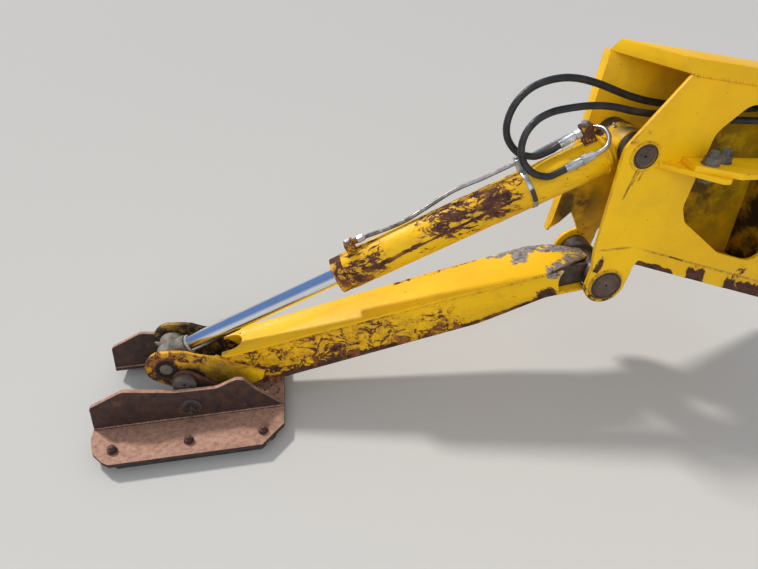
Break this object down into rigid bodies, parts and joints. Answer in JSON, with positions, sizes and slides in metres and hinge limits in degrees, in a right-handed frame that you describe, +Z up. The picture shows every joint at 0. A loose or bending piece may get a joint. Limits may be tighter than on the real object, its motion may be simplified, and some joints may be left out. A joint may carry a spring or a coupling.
{
  "type": "backhoe loader stabiliser leg with its frame section",
  "caption": "Stabiliser leg of a backhoe loader: tapered box leg on a frame section, hydraulic cylinder with hoses, swivelling ground pad.",
  "frame": {"origin": "centre of the inboard face of the frame section's end plate, 0.542 m above the ground", "axes": "+X inboard towards the middle of the machine, +Y away from the picture's viewer along the machine, +Z up"},
  "size_m": [2.085, 0.56, 0.9788],
  "materials": {
    "yellow_paint": "satin, chipped",
    "rusty_steel": "rusty",
    "dark_steel": "greasy",
    "plated_steel": "dull plated",
    "chrome_rod": "polished",
    "hose_rubber": "matte",
    "pad_rubber": "matte, dusty"
  },
  "bodies": {
    "frame": {"near_plate": "yellow_paint", "far_plate": "yellow_paint", "top_plate": "yellow_paint", "bottom_plate": "yellow_paint", "end_plate": "yellow_paint", "inner_web": "yellow_paint", "lug_plate": "yellow_paint", "keeper_plate": "yellow_paint", "keeper_bolts": "dark_steel", "upper_pin": "dark_steel", "pin_sleeves": "dark_steel", "leg_pin": "dark_steel", "hose_unions": "plated_steel", "upper_hose": "hose_rubber", "lower_hose": "hose_rubber"},
    "leg": {"leg_top": "yellow_paint", "leg_bottom": "yellow_paint", "leg_near_side": "yellow_paint", "leg_far_side": "yellow_paint", "leg_hub": "rusty_steel", "near_fork": "yellow_paint", "far_fork": "yellow_paint", "fork_tie": "yellow_paint", "rod_pin_ends": "dark_steel"},
    "barrel": {"barrel": "yellow_paint", "gland_head": "rusty_steel", "base_eye": "yellow_paint", "gland_port": "dark_steel", "base_port": "rusty_steel", "steel_line": "plated_steel", "hose_ends": "plated_steel", "band_clamp": "plated_steel"},
    "rod": {"rod": "chrome_rod", "rod_eye": "dark_steel", "eye_pin": "dark_steel"},
    "pad": {"pad_plate": "rusty_steel", "near_rib": "rusty_steel", "far_rib": "rusty_steel", "pad_ears": "dark_steel", "pad_pins": "dark_steel", "pad_bolts": "dark_steel", "street_pads": "pad_rubber"}
  },
  "joints": [
    {"name": "leg_swing", "type": "hinge", "parent": "frame", "child": "leg", "pos_m": [-0.56, 0, -0.20244], "axis": [0, 1, 0], "range_deg": [-6, 60]},
    {"name": "cylinder_tilt", "type": "hinge", "parent": "frame", "child": "barrel", "pos_m": [-0.52, 0, 0.18156], "axis": [0, 1, 0], "range_deg": [-6.5, 61.2], "deforming": ["upper_hose", "lower_hose"]},
    {"name": "rod_slide", "type": "slide", "parent": "barrel", "child": "rod", "axis": [-0.9269, 0, -0.3753], "range_m": [-0.39, 0.042]},
    {"name": "pad_tilt", "type": "hinge", "parent": "leg", "child": "pad", "pos_m": [-1.81, 0, -0.40244], "axis": [0, 1, 0], "range_deg": [-5, 120]}
  ],
  "couplings": [
    {"joint": "cylinder_tilt", "follows": "leg_swing", "ratio": 1.0122},
    {"joint": "rod_slide", "follows": "leg_swing", "m_per_rad": -0.3684}
  ]
}
